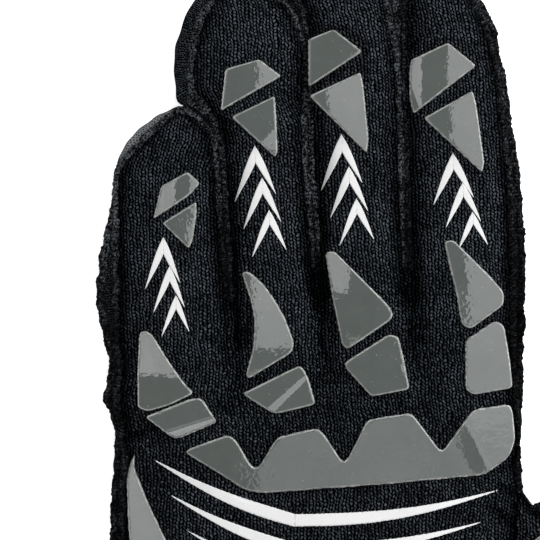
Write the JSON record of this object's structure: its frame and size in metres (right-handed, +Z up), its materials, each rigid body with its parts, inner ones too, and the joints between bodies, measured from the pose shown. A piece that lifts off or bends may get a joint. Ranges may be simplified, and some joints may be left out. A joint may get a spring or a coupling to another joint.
{
  "type": "motorsport racing glove",
  "caption": "Left-hand off-road racing glove lying palm down: knit back, woven side walls, moulded finger pads, knuckle bar, open cuff.",
  "frame": {"origin": "underside of the palm, in the middle of the hand just below the finger crotches", "axes": "+Y towards the fingertips, +X towards the thumb, +Z up out of the back of the hand"},
  "size_m": [0.1636, 0.236, 0.0195],
  "materials": {
    "knit": "matt black stretch knit with fine ribs",
    "woven": "black twill with a slight sheen",
    "suede": "dark synthetic suede",
    "rubber": "glossy dark grey moulded rubber",
    "print": "white printed film"
  },
  "bodies": {
    "root": {"back_panel": "knit", "palm_panel": "suede", "side_wall_little": "woven", "fourchette_little_ring": "woven", "fourchette_ring_middle": "woven", "fourchette_middle_index": "woven", "side_wall_index": "woven", "side_wall_wrist": "woven", "thumb_back": "knit", "thumb_palm": "suede", "thumb_wall": "woven", "cuff": "knit", "little_tip_pad": "rubber", "little_mid_pad": "rubber", "little_shield": "rubber", "little_base_pad": "rubber", "ring_tip_pad": "rubber", "ring_mid_pad": "rubber", "ring_shield": "rubber", "ring_base_pad": "rubber", "middle_tip_pad": "rubber", "middle_mid_pad": "rubber", "middle_shield": "rubber", "middle_base_pad": "rubber", "index_tip_pad": "rubber", "index_mid_pad": "rubber", "index_shield": "rubber", "index_base_pad": "rubber", "knuckle_bar": "rubber", "side_pad": "rubber", "thumb_pad": "rubber"}
  },
  "joints": []
}
